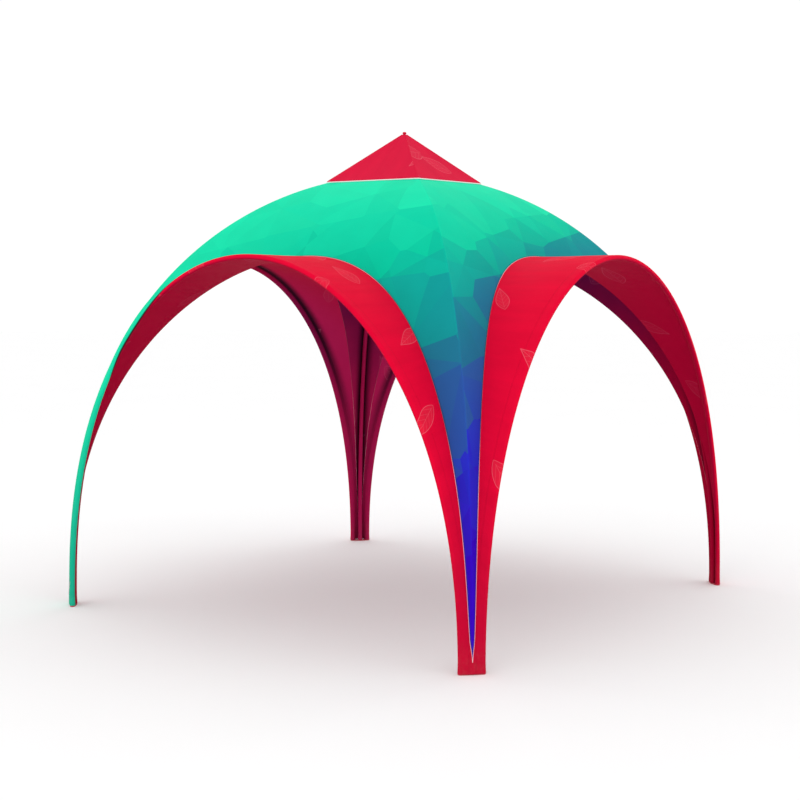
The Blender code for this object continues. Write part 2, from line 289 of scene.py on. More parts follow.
def steps_along(points, axis=0):
    """Distance travelled along a grid of points from its first row or column."""
    size = np.linalg.norm(np.diff(points, axis=axis), axis=-1)
    start = np.zeros_like(np.take(size, [0], axis=axis))
    return np.concatenate([start, np.cumsum(size, axis=axis)], axis=axis)


def ripples(along, across, seed, count, shortest, longest, lean=0.35):
    """Sum of sine waves that run across the cloth, each with its own lean, from -1 to 1."""
    dice = np.random.default_rng(seed)
    total = np.zeros(np.broadcast(along, across).shape)
    for span, slant, start in zip(dice.uniform(shortest, longest, count),
                                  dice.uniform(-lean, lean, count),
                                  dice.uniform(0, 2 * math.pi, count)):
        total = total + np.sin(2 * math.pi * (along + slant * across) / span + start)
    return total / count


# Meshes

def wrapped(grid, axis):
    """Grid with its first row or column once more at its end."""
    return np.concatenate([grid, np.take(grid, [0], axis=axis)], axis=axis)


def numbered(grid, *closed):
    """Number of each point of a grid, wrapped along each axis that closes on itself."""
    index = np.arange(grid[..., 0].size).reshape(grid.shape[:2])
    for axis in closed:
        index = wrapped(index, axis)
    return index


def laid_out(along, across):
    """UV map from the distances along a grid and across it."""
    return np.stack(np.broadcast_arrays(along, across), axis=-1)


def quads(field):
    """Values of a grid at the corners of its quads."""
    corners = (field[:-1, :-1], field[1:, :-1], field[1:, 1:], field[:-1, 1:])
    return np.stack(corners, axis=2).reshape(-1, 4, *field.shape[2:])


def rims(field, ring):
    """Values at the corners of the rims that join the edges of a grid to those of its copy."""
    paths = [field[0], field[-1, ::-1]]
    if not ring:
        paths += [field[::-1, 0], field[:, -1]]
    return np.concatenate([np.stack([p[:-1], p[1:], p[1:], p[:-1]], axis=1) for p in paths])


def volume(points, faces):
    """Signed volume inside quads: a sixth of the sum of triple products."""
    a, b, c, d = np.moveaxis(points[faces], 1, 0)
    return (a * (np.cross(b, c) + np.cross(c, d))).sum() / 6


def quad_area(grid):
    """Area of a grid of points."""
    start, cross = grid[:-1, :-1], grid[1:, 1:] - grid[:-1, :-1]
    halves = np.cross(grid[1:, :-1] - start, cross), np.cross(cross, grid[:-1, 1:] - start)
    return float(np.linalg.norm(halves, axis=-1).sum() / 2)


def solid(name, points, faces, corners, finishes, sharp, ends=(), kinds=None, marks=None):
    """Object that rides on the frame: quads and flat ends turned outwards, with a UV map in
    metres along the cloth, a finish for each kind of face, one number a point for each mark,
    and sharp edges from an angle upwards."""
    if volume(points - points[0], faces) < 0:
        faces, corners, ends = faces[:, ::-1], corners[:, ::-1], [end[::-1] for end in ends]
    mesh = bpy.data.meshes.new(name)
    mesh.from_pydata(points.tolist(), [], faces.tolist() + [end.tolist() for end in ends])
    if kinds is not None:
        mesh.polygons.foreach_set("material_index", kinds.astype(np.int32))
    uv = np.concatenate([corners.reshape(-1, 2), np.zeros((sum(map(len, ends)), 2))])
    mesh.uv_layers.new(name="cloth").data.foreach_set("uv", uv.astype(np.float32).ravel())
    for key, values in (marks or {}).items():
        held = mesh.attributes.new(key, "FLOAT", "POINT").data
        held.foreach_set("value", values.astype(np.float32).ravel())
    mesh.shade_smooth()
    mesh.set_sharp_from_angle(angle=math.radians(sharp))
    for material in finishes:
        mesh.materials.append(material)
    made = bpy.data.objects.new(name, mesh)
    bpy.context.scene.collection.objects.link(made)
    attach(made, "root")
    return made


def cloth(name, grid, facing, thick, uv, finishes, marks, ring=False):
    """A sheet of cloth: the grid as its face, a copy set back along the normals as its back,
    and rims between them. The finishes are the face's, the back's and the rims'."""
    points = np.concatenate([grid.reshape(-1, 3), (grid - facing * thick).reshape(-1, 3)])
    count = len(points) // 2
    index = numbered(grid, 1) if ring else numbered(grid)
    front, rim = quads(index), rims(index, ring) + np.array([0, 0, count, count])
    corners = np.concatenate([quads(uv), quads(uv)[:, ::-1], rims(uv, ring)])
    kinds = np.repeat([0, 1, 2], [len(front), len(front), len(rim)])
    both = {key: np.tile(np.broadcast_to(value, grid.shape[:2]).ravel(), 2)
            for key, value in marks.items()}
    return solid(name, points, np.concatenate([front, front[:, ::-1] + count, rim]), corners,
                 finishes, 50, kinds=kinds, marks=both)


def tube(name, rings, finishes, sharp=40):
    """A closed bar through rings of points, with a flat face on each end."""
    index = numbered(rings, 1)
    uv = laid_out(steps_along(rings)[:, :1], np.linspace(0, 1, index.shape[1]))
    return solid(name, rings.reshape(-1, 3), quads(index), quads(uv), finishes, sharp,
                 [index[0, :-1], index[-1, -2::-1]])


def closed_ring(name, rings, finishes, sharp, uv=None):
    """A ring-shaped solid: its grid of points closes on itself both ways."""
    index = numbered(rings, 0, 1)
    uv = np.zeros((*index.shape, 2)) if uv is None else uv
    return solid(name, rings.reshape(-1, 3), quads(index), quads(uv), finishes, sharp)


def joined(name, parts):
    """One object from several that share their materials."""
    with bpy.context.temp_override(active_object=parts[0], selected_editable_objects=parts,
                                   selected_objects=parts):
        bpy.ops.object.join()
    parts[0].name = name
    return parts[0]


def circle(sides):
    """Cosines and sines at even steps round a circle."""
    turn = np.arange(sides)[:, None] * 2 * math.pi / sides
    return np.cos(turn), np.sin(turn)


def rounds(line, radius, sides, across):
    """Circles round a line, square to it, that start from the across direction."""
    along = unit(np.gradient(line, axis=0))
    side = unit(square_to(across, along))
    cos, sin = circle(sides)
    return line[:, None] + radius * (cos * side[:, None] + sin * np.cross(along, side)[:, None])


def lathe(middle, axis, outline, sides):
    """Circles of an outline of radius and height about an axis through the middle."""
    off_axis = (0.31, 0.95, 0.02) if abs(axis[2]) > 0.9 else UP
    side = unit(np.cross(axis, off_axis))
    cos, sin = circle(sides)
    radius, height = np.array(outline).T[..., None, None]
    return middle + height * axis + radius * (cos * side + sin * np.cross(axis, side))


# Shared shader groups

class Value:
    """What comes out of a node, to be used in formulas."""

    def __init__(self, wires, socket):
        self.wires = wires
        self.socket = socket

    def __add__(self, other):
        return self.wires.math("ADD", self, other)

    def __sub__(self, other):
        return self.wires.math("SUBTRACT", self, other)

    def __rsub__(self, other):
        return self.wires.math("SUBTRACT", other, self)

    def __mul__(self, other):
        return self.wires.math("MULTIPLY", self, other)

    def __truediv__(self, other):
        return self.wires.math("DIVIDE", self, other)

    def __rtruediv__(self, other):
        return self.wires.math("DIVIDE", other, self)

    def __abs__(self):
        return self.wires.math("ABSOLUTE", self)


class Wires:
    """Writes nodes into one node tree, and gives their outputs as values."""

    def __init__(self, tree):
        self.tree = tree

    def feed(self, socket, value):
        """Link an input to a value, or set it to a number or colour."""
        if isinstance(value, Value):
            self.tree.links.new(value.socket, socket)
        else:
            socket.default_value = value

    def take(self, kind, inputs, *outputs, **settings):
        """Outputs of a new node, its first one if none is named, with its inputs fed."""
        made = self.tree.nodes.new(kind)
        for key, value in settings.items():
            setattr(made, key, value)
        for key, value in inputs.items():
            self.feed(made.inputs[key], value)
        values = [Value(self, made.outputs[key]) for key in outputs or (0,)]
        return values if len(values) > 1 else values[0]

    def group(self, name, inputs, *outputs):
        """Outputs of a shared group."""
        return self.take("ShaderNodeGroup", inputs, *outputs, node_tree=bpy.data.node_groups[name])

    def math(self, operation, *values):
        """One step of arithmetic."""
        return self.take("ShaderNodeMath", dict(enumerate(values)), operation=operation)

    def most(self, first, *others):
        """The largest of several values."""
        for other in others:
            first = self.math("MAXIMUM", first, other)
        return first

    def vector(self, operation, first, second):
        """One step of vector arithmetic."""
        return self.take("ShaderNodeVectorMath", {0: first, 1: second}, operation=operation)

    def scaled(self, vector, scale):
        """Vector times a number."""
        return self.take("ShaderNodeVectorMath", {0: vector, "Scale": scale}, operation="SCALE")

    def stretch(self, vector, scale):
        """Vector with each of its axes scaled."""
        return self.take("ShaderNodeMapping", {"Vector": vector, "Scale": scale})

    def turned(self, vector, angle):
        """Vector turned about Z."""
        return self.take("ShaderNodeVectorRotate", {"Vector": vector, "Angle": angle},
                         rotation_type="Z_AXIS")

    def split(self, vector, kind="XYZ"):
        """The three numbers of a vector, or of a colour where the kind is Color."""
        return self.take("ShaderNodeSeparate" + kind, {0: vector}, 0, 1, 2)

    def blend(self, share, first, second):
        """Mix of two colours."""
        return self.take("ShaderNodeMix", {0: share, 6: first, 7: second}, 2, data_type="RGBA")

    def shaded(self, tone, shade):
        """Colour made a little lighter or darker by a shade near one."""
        return self.take("ShaderNodeHueSaturation", {"Color": tone, "Value": shade})

    def span(self, value, low, high, to_low=0.0, to_high=1.0, kind="SMOOTHSTEP"):
        """Step of a value between two limits, smooth unless its kind is LINEAR."""
        inputs = dict(enumerate((value, low, high, to_low, to_high)))
        return self.take("ShaderNodeMapRange", inputs, interpolation_type=kind)

    def noise(self, vector, scale, detail=2.0, roughness=0.5):
        """Soft noise, from 0 to 1."""
        inputs = {"Vector": vector, "Scale": scale, "Detail": detail, "Roughness": roughness}
        return self.take("ShaderNodeTexNoise", inputs, "Fac")

    def seeds(self, vector, size, randomness, feature="F1"):
        """Place of the nearest seed on a plane, or of the next one with F2, and its colour."""
        inputs = {"Vector": vector, "Scale": 1 / size, "Randomness": randomness}
        return self.take("ShaderNodeTexVoronoi", inputs, "Position", "Color", feature=feature,
                         voronoi_dimensions="2D")

    def place(self):
        """Object coordinates."""
        return self.take("ShaderNodeTexCoord", {}, "Object")

    def laid(self):
        """The cloth's own UV map, in metres."""
        return self.take("ShaderNodeUVMap", {}, uv_map="cloth")

    def mark(self, key):
        """A number held at the mesh's points."""
        return self.take("ShaderNodeAttribute", {}, "Fac", attribute_name=key)


def shader_group(name, inputs, outputs):
    """Empty shared group: its wires, its inputs as values, and the sockets of its outputs."""
    tree = bpy.data.node_groups.new(name, "ShaderNodeTree")
    for way, sockets in (("INPUT", inputs), ("OUTPUT", outputs)):
        for label, kind in sockets.items():
            tree.interface.new_socket(label, in_out=way, socket_type="NodeSocket" + kind)
    wires = Wires(tree)
    source = tree.nodes.new("NodeGroupInput").outputs
    values = {label: Value(wires, source[label]) for label in inputs}
    return wires, values, tree.nodes.new("NodeGroupOutput").inputs


def weave_group():
    """Plain weave: crossed rows of rounded threads on the cloth's own map."""
    w, given, result = shader_group("plain_weave", {"Map": "Vector", "Pitch": "Float"},
                                    {"Height": "Float", "Shade": "Float"})
    x, y, _ = w.split(w.scaled(given["Map"], math.pi / given["Pitch"]))
    warp, weft = w.math("SINE", x), w.math("SINE", y)
    over = w.math("GREATER_THAN", warp * weft, 0.0)
    w.feed(result["Height"], over * abs(warp) + (1 - over) * abs(weft))
    w.feed(result["Shade"], w.noise(given["Map"], 5.0, 3.0) * 0.10 + 0.95)


# Where each tone of the print starts and where it has taken over, from the peak downwards
TONES = {"Emerald": (0.02, 0.22), "Teal": (0.22, 0.42), "Lagoon": (0.44, 0.56),
         "Steel": (0.57, 0.67), "Royal": (0.68, 0.79), "Violet": (0.80, 0.92)}


def facet_group():
    """Low facets: each place takes the colour of a point between its two nearest seeds on the
    cloth's map, so the print falls into flat corners that run from mint to violet. The map's
    offset to that point is turned into height by how steeply the map climbs there."""
    w, given, result = shader_group(
        "facet_print",
        {"Place": "Vector", "Map": "Vector",
         **dict.fromkeys(("Climb U", "Climb V", "Drift", "Size", "Lean X", "Lean Y"), "Float"),
         **dict.fromkeys(("Mint", *TONES, "Foot"), "Color")},
        {"Color": "Color"})
    slant, near_share, top, least_lean = 0.55, 0.62, 3.46, 0.64
    slanted = w.turned(given["Map"], slant)
    near, _ = w.seeds(slanted, given["Size"], 0.62)
    next_near, _ = w.seeds(slanted, given["Size"], 0.62, "F2")
    seed = w.vector("ADD", w.scaled(w.turned(near, -slant), near_share),
                    w.scaled(w.turned(next_near, -slant), 1 - near_share))
    off_u, off_v, _ = w.split(w.scaled(w.vector("SUBTRACT", seed, given["Map"]), 0.75))
    x, y, z = w.split(given["Place"])
    height = off_u * given["Climb U"] + z + off_v * given["Climb V"]
    lean = x * given["Lean X"] + least_lean + y * given["Lean Y"] + off_u * given["Drift"]
    drop = w.most((top - height) * lean, 0.0)
    dice = w.take("ShaderNodeTexWhiteNoise", {"Vector": w.scaled(seed, 37.0)}, "Color",
                  noise_dimensions="2D")
    jitter, gloss, _ = w.split(dice, "Color")
    step = drop / (drop * 0.44 + 1) + (jitter - 0.5) * 0.07
    tone = given["Mint"]
    for name, (low, high) in TONES.items():
        tone = w.blend(w.span(step, low, high, kind="LINEAR"), tone, given[name])
    low_down = w.span(z, 0.0, 2.4, 0.85, 0.0) * w.span(step, 0.0, 0.35, 1.0, 0.0)
    tone = w.blend(low_down, tone, given["Foot"])
    w.feed(result["Color"], w.shaded(tone, gloss * 0.08 + 0.94))


def leaf_group():
    """Scattered leaf outlines: in each cell one leaf, turned and sized at random, whose half
    width at p along its rib is width * (1 - (p / reach)^2), lopsided towards its stalk."""
    w, given, result = shader_group("leaf_outlines", {"Map": "Vector", "Spacing": "Float"},
                                    {"Line": "Float", "Fill": "Float"})
    seed, dice = w.seeds(given["Map"], given["Spacing"], 0.72)
    turn, size, bulge = w.split(dice, "Color")
    away = w.vector("SUBTRACT", given["Map"], seed)
    p, q, _ = w.split(w.turned(away, turn * (2 * math.pi)))
    reach = given["Spacing"] * (size * 0.09 + 0.20)
    p, side = p / reach, abs(q / reach)
    inside = (1 - p * p) * (p * 0.22 + (bulge * 0.14 + 0.38)) - side
    within = w.math("LESS_THAN", abs(p), 1.0)
    rim = w.span(abs(inside), 0.008, 0.026, 1.0, 0.0)
    rib = w.span(side, 0.004, 0.016, 1.0, 0.0) * w.math("LESS_THAN", abs(p + 0.08), 0.9)
    vein = w.math("FRACT", (p + side * 1.1) * 3.2)
    vein = w.span(abs(vein - 0.5), 0.02, 0.06, 0.45, 0.0)
    fill = w.span(inside, 0.0, 0.02) * within
    w.feed(result["Line"], w.most(rim, rib * 0.7, vein * fill) * within)
    w.feed(result["Fill"], fill)


def stitch_group():
    """Two rows of short stitches at set distances from an edge."""
    rows, stitch = ("First", "Second"), 0.0055
    w, given, result = shader_group(
        "stitch_rows", dict.fromkeys(("Distance", "Along", *rows), "Float"),
        {"Thread": "Float", "Height": "Float"})
    dash = w.math("FRACT", given["Along"] / stitch)
    dash = w.span(abs(dash - 0.5), 0.30, 0.40, 1.0, 0.0)
    away = [abs(given["Distance"] - given[row]) for row in rows]
    thread = w.most(*(w.span(off, 0.0004, 0.0011, 1.0, 0.0) for off in away)) * dash
    pull = w.most(*(w.span(off, 0.0, 0.004, 1.0, 0.0) for off in away))
    w.feed(result["Thread"], thread)
    w.feed(result["Height"], thread * 0.6 - pull)


def dust_group():
    """Dust thrown up from the ground, thickest at the feet."""
    w, given, result = shader_group("ground_dust", {"Place": "Vector", "Reach": "Float"},
                                    {"Dust": "Float"})
    _, _, z = w.split(given["Place"])
    specks = w.span(w.noise(given["Place"], 26.0, 4.0, 0.65), 0.42, 0.72)
    w.feed(result["Dust"], w.span(z, 0.0, given["Reach"], 1.0, 0.0) * (specks * 0.7 + 0.18))


def wear_group():
    """Fine scratches and dulled patches on metal and moulded parts."""
    w, given, result = shader_group("surface_wear", {"Place": "Vector", "Scale": "Float"},
                                    {"Scratch": "Float", "Patch": "Float"})
    fine = w.noise(w.stretch(given["Place"], (1.0, 1.0, 0.06)), 160.0, 3.0, 0.6)
    w.feed(result["Scratch"], w.span(fine, 0.60, 0.72))
    w.feed(result["Patch"], w.noise(w.scaled(given["Place"], given["Scale"]), 1.0, 3.0))


# Materials

def finish(name):
    """New material: its wires and its shader's inputs."""
    made = bpy.data.materials.new(name)
    made.use_nodes = True
    return Wires(made.node_tree), made.node_tree.nodes["Principled BSDF"].inputs


def bumped(w, shader, height, depth, **under):
    """Bump from a height, on top of another bump where one is given as Normal."""
    normal = w.take("ShaderNodeBump", {"Strength": 1.0, "Distance": depth, "Height": height, **under})
    w.feed(shader["Normal"], normal)
    return normal


def cloth_base(name, rough):
    """New material of coated cloth with its weave's relief and its cloudy gloss: its wires, its
    shader's inputs, its shade and its normal."""
    w, shader = finish(name)
    pitch = 0.0016
    height, shade = w.group("plain_weave", {"Map": w.laid(), "Pitch": pitch}, "Height", "Shade")
    shader["Specular IOR Level"].default_value = 0.02
    w.feed(shader["Roughness"], w.noise(w.laid(), 3.0) * 0.16 + (rough - 0.08))
    return w, shader, shade, bumped(w, shader, height, 0.00010)


def rgb(value):
    """Colour with its opacity."""
    return (value[0], value[1], value[2], 1.0)


def stitching(w, distance, first, second):
    """Thread and relief of two rows of stitches at set distances from a marked line."""
    inputs = {"Distance": w.mark(distance), "Along": w.mark("along"), "First": first,
              "Second": second}
    return w.group("stitch_rows", inputs, "Thread", "Height")


def print_colour(w, look):
    """The faceted print's colour."""
    tones = {name: rgb(getattr(look, name.lower())) for name in ("Mint", *TONES, "Foot")}
    marks = {"Climb U": w.mark("climb_u"), "Climb V": w.mark("climb_v"), "Drift": w.mark("drift")}
    sizes = {"Size": look.facet_size, "Lean X": look.lean_right, "Lean Y": look.lean_back}
    inputs = {"Place": w.place(), "Map": w.laid(), **marks, **sizes, **tones}
    return w.group("facet_print", inputs, "Color")


def with_leaves(w, look, tone, fill_share, fill_tone, line_share, line_tone):
    """Colour with the leaf outlines faintly on it."""
    line, fill = w.group("leaf_outlines", {"Map": w.laid(), "Spacing": look.leaf_cell}, "Line", "Fill")
    tone = w.blend(fill * fill_share, tone, (*fill_tone, 1.0))
    return w.blend(line * line_share, tone, (*line_tone, 1.0))


def red_colour(w, look):
    """Red that turns crimson towards the feet, with faint streaks and leaf outlines."""
    _, _, z = w.split(w.place())
    tone = w.blend(w.span(z, 0.1, 1.7), rgb(look.crimson), rgb(look.red))
    tone = w.blend(w.span(z, 3.2, 3.5), tone, rgb(look.cap_red))
    streak = w.noise(w.stretch(w.laid(), (9.0, 1.3, 1.0)), 1.0, 3.0, 0.55)
    tone = w.shaded(tone, streak * 0.22 + 0.89)
    return with_leaves(w, look, tone, 0.07, (0.90, 0.16, 0.22), 0.22, (0.98, 0.42, 0.50))


def inner_colour(w, look):
    """Painted shade of the cloth's inner side: a red darker than the outside's, which turns
    purplish towards the back left leg as painted shade there, and how near that leg is."""
    x, y, _ = w.split(w.place())
    far = w.span(y - x, 2.0, 3.4)
    return w.blend(far * 0.75, rgb(look.shaded_wine), rgb(look.far_shade_mulberry)), far


def far_pocket_shade(w):
    """Strength of the painted shade beside the edge pockets' hems: only on the two hoods of the
    far leg, less towards the ground."""
    x, y, z = w.split(w.place())
    return w.span(y - x, 1.9, 2.3) * w.span(z, 0.9, 2.3, 0.35, 1.0)


def dusted(w, tone):
    """Colour with dust near the ground."""
    dust = w.group("ground_dust", {"Place": w.place(), "Reach": 0.30}, "Dust")
    return w.blend(dust * 0.10, tone, (0.32, 0.24, 0.20, 1.0))


def canopy_finish(look):
    """Printed outer face of the canopy, with its seams' stitching."""
    w, shader, shade, normal = cloth_base("canopy_print", 0.56)
    ridge, ridge_relief = stitching(w, "from_ridge", 0.006, 0.014)
    hem, hem_relief = stitching(w, "from_seam", 0.005, 0.013)
    tone = w.shaded(print_colour(w, look), shade)
    tone = w.shaded(tone, w.most(ridge, hem) * 0.12 + 1)
    shadow = w.span(w.mark("from_seam"), 0.003, 0.015, 0.55, 0.0)
    tone = w.blend(shadow, tone, (0.02, 0.05, 0.08, 1.0))
    w.feed(shader["Base Color"], dusted(w, tone))
    bumped(w, shader, ridge_relief + hem_relief, 0.0003, Normal=normal)


def red_finish(look):
    """Red outer face of the hoods, pockets and cap; where a piece marks it, the print. Under each
    pole the red gives way to painted shade, deepest high up and along the hems at the far leg.
    """
    w, shader, shade, normal = cloth_base("hood_red", 0.60)
    thread, relief = stitching(w, "from_edge", 0.004, 0.011)
    edge = w.mark("print_edge")
    inner, far = inner_colour(w, look)
    _, _, z = w.split(w.place())
    # Painted shade: deep shade high in the far leg's pockets
    inner = w.blend(far * w.span(z, 1.2, 2.3, 0.0, 0.7), inner, rgb(look.shade_plum))
    # Painted shade along the pocket hems of the far leg's hoods
    hem_shade = w.span(w.mark("from_edge"), -0.034, -0.012, 0.0, 0.9) * far_pocket_shade(w)
    inner = w.blend(hem_shade, inner, (0.006, 0.001, 0.006, 1.0))
    # Painted shade: where the cloth wraps under the pole the red gives way to the inner side's shaded colour
    tone = w.blend(w.mark("inside"), red_colour(w, look), inner)
    tone = w.blend(w.span(edge, 0.0004, 0.0020), tone, print_colour(w, look))
    # A thin dark line along the print's edge on the hoods
    seam = w.span(abs(edge), 0.005, 0.009, 0.9, 0.0) * w.mark("seamed")
    tone = w.blend(seam, tone, (0.012, 0.010, 0.014, 1.0))
    tone = w.shaded(w.shaded(tone, shade), thread * -0.30 + 1)
    w.feed(shader["Base Color"], dusted(w, tone))
    bumped(w, shader, relief, 0.0006, Normal=normal)


def lining_finish(look, name, shade_from, shade_to):
    """Inner side of the cloth in painted shade: a darker red, dark purple painted shade between
    two heights under the dome, and darker painted shade beside the ridges and at the far
    leg's pocket hems.
    """
    w, shader, shade, normal = cloth_base(name, 0.66)
    _, _, z = w.split(w.place())
    cloudy = w.noise(w.stretch(w.place(), (1.0, 1.0, 0.5)), 2.2, 3.0)
    inner, _ = inner_colour(w, look)
    # Painted shade under the dome: dark purple from one height to the next
    tone = w.blend(w.span(cloudy * 0.8 + z, shade_from, shade_to), inner, rgb(look.shade_plum))
    # Painted shade beside the ridges and on the ridge pockets where they meet the panels
    crease = w.span(w.mark("from_ridge"), 0.03, 0.14, 0.90, 0.0)
    tone = w.blend(crease, tone, (0.016, 0.001, 0.010, 1.0))
    # Painted shade along the pocket hems of the far leg's hoods
    hem_shade = w.span(w.mark("from_edge"), 0.0, 0.10, 0.9, 0.0) * w.mark("seamed") * far_pocket_shade(w)
    tone = w.blend(hem_shade, tone, (0.010, 0.002, 0.010, 1.0))
    tone = with_leaves(w, look, tone, 0.05, (0.42, 0.05, 0.12), 0.16, (0.62, 0.20, 0.30))
    w.feed(shader["Base Color"], dusted(w, w.shaded(tone, shade)))
    bumped(w, shader, w.noise(w.laid(), 30.0, 2.0), 0.0006, Normal=normal)


def binding_finish(look):
    """Pale twisted cord of the seams and the cap's base, dark where it lies in shade."""
    w, shader = finish("pale_binding")
    x, y, _ = w.split(w.laid())
    _, _, z = w.split(w.place())
    twist = abs(w.math("FRACT", x * 160.0 + y) - 0.5)
    tone = w.blend(w.span(z, 3.0, 3.3), rgb(look.binding), rgb(look.cap_binding))
    tone = w.shaded(tone, twist * -0.16 + 1)
    shade = w.span(z, 1.25, 1.75) * w.span(z, 2.55, 2.80, 1.0, 0.0)
    tone = w.blend(shade * 0.9, tone, (0.05, 0.012, 0.03, 1.0))
    w.feed(shader["Base Color"], dusted(w, tone))
    w.feed(shader["Roughness"], w.noise(w.place(), 40.0) * 0.2 + 0.5)
    bumped(w, shader, twist, 0.0006)


def worn_finish(name, scale, tone, share, dull):
    """New material with dulled patches: its wires, its shader's inputs, its colour, its
    scratches and its patches."""
    w, shader = finish(name)
    inputs = {"Place": w.place(), "Scale": scale}
    scratch, patch = w.group("surface_wear", inputs, "Scratch", "Patch")
    return w, shader, w.blend(patch * share, tone, dull), scratch, patch


def metal_finish(name, tone, rough, dull):
    """Satin metal with fine scratches and dulled patches."""
    w, shader, tone, scratch, patch = worn_finish(name, 22.0, tone, 0.6, dull)
    w.feed(shader["Base Color"], dusted(w, tone))
    shader["Metallic"].default_value = 1.0
    w.feed(shader["Roughness"], scratch * 0.12 + (patch * 0.22 + (rough - 0.1)))
    bumped(w, shader, scratch, 0.0001)


def coated_finish(look):
    """Red powder coat on steel, with its fine texture and a few dull scuffs."""
    w, shader, tone, _, patch = worn_finish("red_steel", 24.0, rgb(look.crimson), 0.5,
                                            (0.30, 0.002, 0.014, 1.0))
    w.feed(shader["Base Color"], dusted(w, tone))
    w.feed(shader["Roughness"], patch * 0.2 + 0.36)
    bumped(w, shader, w.noise(w.place(), 700.0, 2.0), 0.0001)


def moulded_finish():
    """Black moulded plastic with a fine grain."""
    w, shader, tone, scratch, patch = worn_finish(
        "black_moulding", 30.0, (0.018, 0.018, 0.020, 1.0), 1.0, (0.045, 0.044, 0.046, 1.0))
    w.feed(shader["Base Color"], w.blend(scratch * 0.3, tone, (0.12, 0.12, 0.12, 1.0)))
    w.feed(shader["Roughness"], patch * 0.2 + 0.45)
    bumped(w, shader, w.noise(w.place(), 900.0, 2.0), 0.0002)


def floor_finish():
    """Pale matt floor with a faint unevenness."""
    w, shader = finish("pale_floor")
    tone = w.blend(w.noise(w.place(), 0.6, 3.0), (0.97, 0.97, 0.972, 1.0), (0.99, 0.99, 0.99, 1.0))
    w.feed(shader["Base Color"], tone)
    w.feed(shader["Roughness"], w.noise(w.place(), 3.0) * 0.1 + 0.8)
    shader["Specular IOR Level"].default_value = 0.1


def materials(*names):
    """Materials that an earlier step has made."""
    return [bpy.data.materials[name] for name in names]


# Pieces

def settings(context):
    """The tent's shape, the making of its cloth and its print."""
    return context.scene.tent_shape, context.scene.cloth_make, context.scene.cloth_print


class TENT_OT_finishes(bpy.types.Operator):
    """Make the shared shader groups and every material"""
    bl_idname = "tent.finishes"
    bl_label = "Finishes"

    def execute(self, context):
        look = context.scene.cloth_print
        for build in (weave_group, facet_group, leaf_group, stitch_group, dust_group, wear_group):
            build()
        canopy_finish(look)
        red_finish(look)
        lining_finish(look, "canopy_lining", 1.7, 3.4)
        lining_finish(look, "hood_lining", 5.0, 8.0)
        binding_finish(look)
        metal_finish("satin_aluminium", (0.66, 0.67, 0.69, 1.0), 0.34, (0.48, 0.49, 0.50, 1.0))
        metal_finish("bright_steel", (0.58, 0.58, 0.59, 1.0), 0.26, (0.40, 0.40, 0.41, 1.0))
        coated_finish(look)
        moulded_finish()
        floor_finish()
        return {"FINISHED"}


class TENT_OT_canopy(bpy.types.Operator):
    """Stretch the four printed panels over the ridges"""
    bl_idname = "tent.canopy"
    bl_label = "Canopy Panels"

    def execute(self, context):
        shape, make, look = settings(context)
        share, lift, crown = np.linspace(-1, 1, 201), 0.003, 0.2
        row = 1 - (1 - np.linspace(0, 1, 45)) ** 2
        seam_edge = seam_line(shape, share, shape.tail_tip + lift)
        crown_edge = crown_line(shape, share, shape.tail_tip + lift, crown)
        x, z = (low[:, None] * (1 - row) + high[:, None] * row
                for low, high in zip(seam_edge, crown_edge))
        grid = on_dome(shape, make, x, z)
        facing = unit(np.cross(np.gradient(grid, axis=0), np.gradient(grid, axis=1)))
        facing *= -np.sign(facing[..., 1:2])
        rise = np.linspace(1e-4, shape.dome_top, 4000)
        climb = steps_along(np.stack([dome_half(shape, rise), rise], axis=-1))
        uv = laid_out(x, np.interp(z, rise, climb))
        tangent = unit(np.gradient(grid[:, 0], axis=0))[:, None]
        ridge = np.maximum(dome_half(shape, z) - np.abs(x), 0)
        seam = np.linalg.norm(square_to(grid - grid[:, :1], tangent), axis=-1)
        pull_depth = 0.0008
        pull = ripples(uv[..., 0] * np.sign(x + 1e-9), uv[..., 1] * 0.25, 3, 5, 0.07, 0.21)
        low = np.exp(-z / 0.9) * smooth(seam / 0.03) * smooth(ridge / 0.02)
        marks = {"from_ridge": ridge, "from_seam": seam, "along": steps_along(grid[:, :1]),
                 "climb_v": np.interp(z, rise, np.gradient(rise, climb))}
        grid = grid + facing * (pull_depth * pull * low)[..., None]
        looks = materials("canopy_print", "canopy_lining", "canopy_lining")
        flat = quad_area(grid)
        drifts = (look.lean_right, look.lean_back, -look.lean_right, -look.lean_back)
        for side, face in enumerate(FACES):
            marks["drift"] = drifts[side]
            panel = cloth("canopy_" + face, turned_side(grid, side), turned_side(facing, side),
                          make.thickness, uv + (7.3 * side, 3.7 * side), looks,
                          marks)
            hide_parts("roof_panel_" + face)
        return {"FINISHED"}


def hood_frame(shape, share, start):
    """Edge line of the front hood, the directions towards the seam and outwards, the width,
    and how far the seam's points lie along the edge from being square to it."""
    x, z = seam_line(shape, share, start)
    edge = edge_line(shape, share, start)
    along = unit(np.gradient(edge, axis=0))
    toward = np.stack([x, -dome_half(shape, z), z], axis=-1) - edge
    straight = square_to(toward, along)
    facing = unit(np.cross(along, straight))
    facing *= np.sign(facing[len(facing) // 2, 2])
    width = np.linalg.norm(straight, axis=-1, keepdims=True)
    return edge, straight / width, facing, width, toward - straight


def flared(make, z):
    """Radius of a pole's pocket, wider at the foot to pass over the socket."""
    socket_top, taper = 0.027, 0.04
    return make.pocket_radius + make.pocket_flare * (1 - smooth((z - socket_top) / taper))


